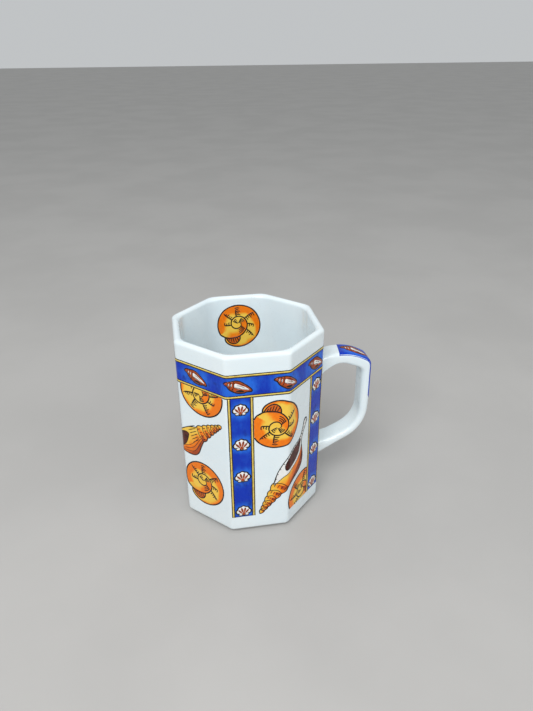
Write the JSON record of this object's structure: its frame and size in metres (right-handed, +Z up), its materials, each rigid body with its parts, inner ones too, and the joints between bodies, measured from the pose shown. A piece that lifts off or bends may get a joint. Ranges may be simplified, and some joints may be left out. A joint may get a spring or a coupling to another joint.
{
  "type": "ceramic mug",
  "caption": "Eight-sided glazed ceramic mug with a strap handle, a rim band, upright strips and printed sea shells.",
  "frame": {"origin": "on the mug's upright axis, on the plane it stands on", "axes": "+Z up towards the rim, +X from the axis out through the handle, +Y completes the right-handed frame along a face"},
  "size_m": [0.099, 0.0706, 0.101],
  "materials": {
    "clay": "bare fired white clay, matt",
    "slip": "fired luting slip, matt, under the glaze",
    "glaze": "clear glossy glaze over white clay",
    "cobalt_enamel": "glossy cobalt-blue overglaze enamel, edged in gold-yellow and black",
    "orange_enamel": "glossy orange and yellow overglaze enamel with black outlines"
  },
  "bodies": {
    "root": {"body": "clay", "handle": "clay", "lower_slip_joint": "slip", "upper_slip_joint": "slip", "glaze_coat": "glaze", "base_glaze": "glaze", "handle_glaze": "glaze", "rim_band": "cobalt_enamel", "strip_1": "cobalt_enamel", "strip_2": "cobalt_enamel", "strip_3": "cobalt_enamel", "strip_4": "cobalt_enamel", "strip_5": "cobalt_enamel", "panel_1_upper_moon": "orange_enamel", "panel_1_lower_moon": "orange_enamel", "panel_1_spindle": "orange_enamel", "panel_2_upper_moon": "orange_enamel", "panel_2_lower_moon": "orange_enamel", "panel_2_spindle": "orange_enamel", "panel_3_upper_moon": "orange_enamel", "panel_3_lower_moon": "orange_enamel", "panel_3_spindle": "orange_enamel", "panel_4_upper_moon": "orange_enamel", "panel_4_lower_moon": "orange_enamel", "panel_4_spindle": "orange_enamel", "inner_moon": "orange_enamel", "handle_band": "cobalt_enamel"}
  },
  "joints": []
}
